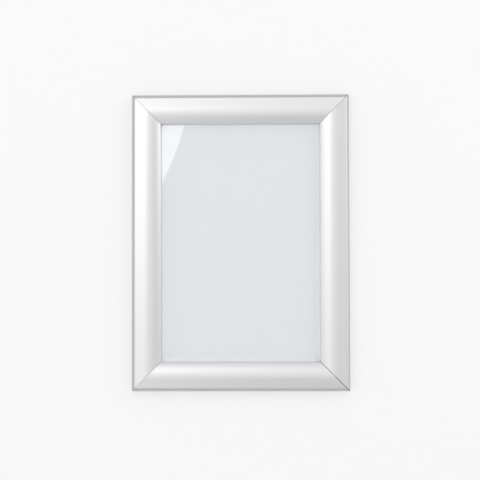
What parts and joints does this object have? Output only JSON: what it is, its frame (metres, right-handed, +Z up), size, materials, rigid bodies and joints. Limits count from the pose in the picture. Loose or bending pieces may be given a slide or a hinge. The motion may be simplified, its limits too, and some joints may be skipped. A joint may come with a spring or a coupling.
{
  "type": "poster frame",
  "caption": "Wall-hung snap-open poster frame: rounded, mitred metal flaps hinge outward over a clear cover and a back panel.",
  "frame": {"origin": "middle of the closed frame's bounding box", "axes": "+Z up the wall, +X across the frame's width, +Y from the frame towards the wall, so that the front looks along -Y"},
  "size_m": [0.24, 0.014, 0.327],
  "materials": {
    "satin_aluminium": "satin silver anodised",
    "base_aluminium": "plain extruded",
    "zinc_steel": "zinc plated",
    "spring_steel": "cold rolled",
    "pale_panel": "matt sheet",
    "clear_sheet": "clear gloss sheet"
  },
  "bodies": {
    "root": {"base_rail_bottom": "base_aluminium", "base_rail_right": "base_aluminium", "base_rail_top": "base_aluminium", "base_rail_left": "base_aluminium", "corner_key_bottom_left": "zinc_steel", "corner_key_bottom_right": "zinc_steel", "corner_key_top_right": "zinc_steel", "corner_key_top_left": "zinc_steel", "leaf_spring_bottom_1": "spring_steel", "leaf_spring_bottom_2": "spring_steel", "leaf_spring_right_1": "spring_steel", "leaf_spring_right_2": "spring_steel", "leaf_spring_top_1": "spring_steel", "leaf_spring_top_2": "spring_steel", "leaf_spring_left_1": "spring_steel", "leaf_spring_left_2": "spring_steel", "back_panel": "pale_panel", "clear_cover": "clear_sheet"},
    "bottom_flap": {"flap_bottom": "satin_aluminium"},
    "right_flap": {"flap_right": "satin_aluminium"},
    "top_flap": {"flap_top": "satin_aluminium"},
    "left_flap": {"flap_left": "satin_aluminium"}
  },
  "joints": [
    {"name": "bottom_flap_hinge", "type": "hinge", "parent": "root", "child": "bottom_flap", "pos_m": [0, 0.0003, -0.1614], "axis": [1, 0, 0], "range_deg": [0, 90], "deforming": ["leaf_spring_bottom_1", "leaf_spring_bottom_2"]},
    {"name": "right_flap_hinge", "type": "hinge", "parent": "root", "child": "right_flap", "pos_m": [0.1179, 0.0003, 0], "axis": [0, 0, 1], "range_deg": [0, 90], "deforming": ["leaf_spring_right_1", "leaf_spring_right_2"]},
    {"name": "top_flap_hinge", "type": "hinge", "parent": "root", "child": "top_flap", "pos_m": [0, 0.0003, 0.1614], "axis": [-1, 0, 0], "range_deg": [0, 90], "deforming": ["leaf_spring_top_1", "leaf_spring_top_2"]},
    {"name": "left_flap_hinge", "type": "hinge", "parent": "root", "child": "left_flap", "pos_m": [-0.1179, 0.0003, 0], "axis": [0, 0, -1], "range_deg": [0, 90], "deforming": ["leaf_spring_left_1", "leaf_spring_left_2"]}
  ]
}
